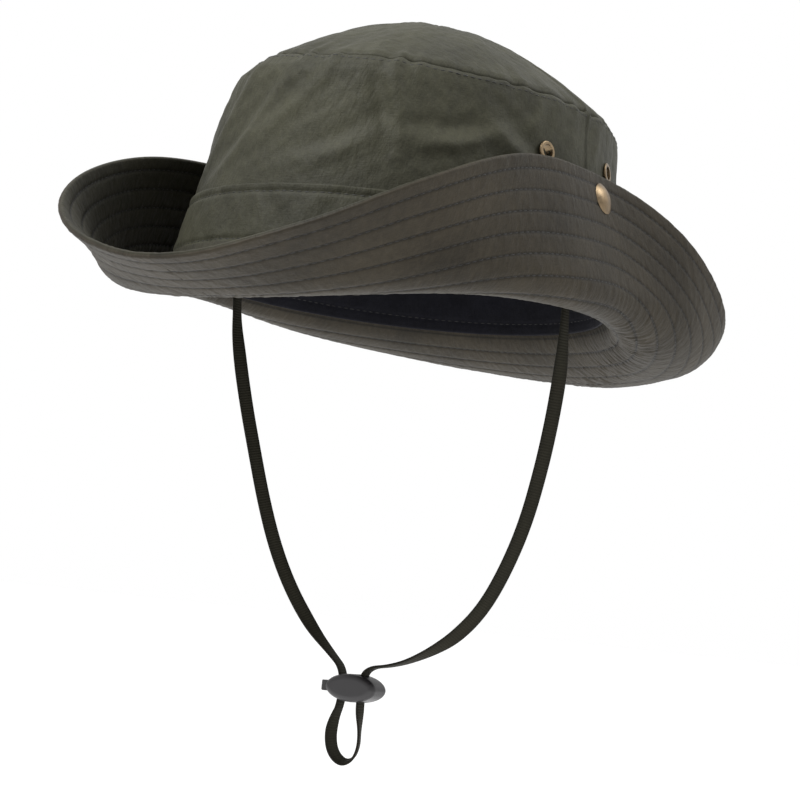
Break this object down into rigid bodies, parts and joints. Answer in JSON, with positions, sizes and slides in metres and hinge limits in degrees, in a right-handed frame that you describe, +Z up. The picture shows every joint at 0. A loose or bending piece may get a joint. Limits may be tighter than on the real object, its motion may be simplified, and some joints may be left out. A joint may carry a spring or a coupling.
{
  "type": "soft brimmed hat",
  "caption": "Soft sun hat with a row-stitched brim snapped up at the sides, metal eyelets and a flat chin cord with a sliding spring toggle.",
  "frame": {"origin": "middle of the head opening, in the plane where the crown is sewn to the brim", "axes": "+Z up out of the crown, -Y to the wearer's front, +X to the wearer's left"},
  "size_m": [0.2097, 0.3256, 0.2998],
  "materials": {
    "crown_cloth": "dull crinkled nylon, dark olive",
    "brim_upper_cloth": "dull crinkled nylon, dark olive, row-stitched",
    "brim_under_cloth": "dull crinkled nylon, brown-olive, row-stitched",
    "interlining": "stiff non-woven sheet",
    "sweatband_tape": "woven navy-black tape",
    "cord_tape": "flat woven tape, dark olive brown",
    "antique_brass": "satin antique brass",
    "toggle_plastic": "moulded charcoal plastic",
    "button_plastic": "moulded black plastic",
    "spring_steel": "bright spring wire"
  },
  "bodies": {
    "hat": {"brim_stiffener_back": "interlining", "brim_stiffener_front": "interlining", "brim_under_back": "brim_under_cloth", "brim_under_front": "brim_under_cloth", "brim_upper_back": "brim_upper_cloth", "brim_upper_front": "brim_upper_cloth", "cord_tabs": "cord_tape", "crown_band_back": "crown_cloth", "crown_band_front": "crown_cloth", "crown_side_back": "crown_cloth", "crown_side_front": "crown_cloth", "crown_top_panel": "crown_cloth", "eyelet_washers": "antique_brass", "eyelets": "antique_brass", "left_snap_stud": "antique_brass", "left_stud_post": "antique_brass", "right_snap_stud": "antique_brass", "right_stud_post": "antique_brass", "sweatband": "sweatband_tape"},
    "left_flap": {"left_flap_stiffener_back": "interlining", "left_flap_stiffener_front": "interlining", "left_flap_under_back": "brim_under_cloth", "left_flap_under_front": "brim_under_cloth", "left_flap_upper_back": "brim_upper_cloth", "left_flap_upper_front": "brim_upper_cloth", "left_snap_cap": "antique_brass", "left_snap_socket": "antique_brass"},
    "right_flap": {"right_flap_stiffener_back": "interlining", "right_flap_stiffener_front": "interlining", "right_flap_under_back": "brim_under_cloth", "right_flap_under_front": "brim_under_cloth", "right_flap_upper_back": "brim_upper_cloth", "right_flap_upper_front": "brim_upper_cloth", "right_snap_cap": "antique_brass", "right_snap_socket": "antique_brass"},
    "chin_cord": {"chin_cord": "cord_tape"},
    "toggle": {"toggle_body": "toggle_plastic", "toggle_spring": "spring_steel"},
    "toggle_button": {"toggle_button": "button_plastic"}
  },
  "joints": [
    {"name": "left_flap_fold", "type": "hinge", "parent": "hat", "child": "left_flap", "pos_m": [0.1036, 0, 0.008], "axis": [0, 1, 0], "range_deg": [0, 90]},
    {"name": "right_flap_fold", "type": "hinge", "parent": "hat", "child": "right_flap", "pos_m": [-0.1022, 0, 0.008], "axis": [0, -1, 0], "range_deg": [0, 90]},
    {"name": "chin_cord_swing", "type": "hinge", "parent": "hat", "child": "chin_cord", "pos_m": [0, 0, 0.003], "axis": [1, 0, 0], "range_deg": [-60, 60]},
    {"name": "toggle_slide", "type": "slide", "parent": "chin_cord", "child": "toggle", "axis": [0, 0, 1], "range_m": [0, 0.085], "deforming": ["chin_cord"]},
    {"name": "toggle_button_press", "type": "slide", "parent": "toggle", "child": "toggle_button", "axis": [1, 0, 0], "range_m": [0, 0.002], "stiffness_N_per_m": 200, "springref_m": -0.002, "deforming": ["toggle_spring"]}
  ]
}
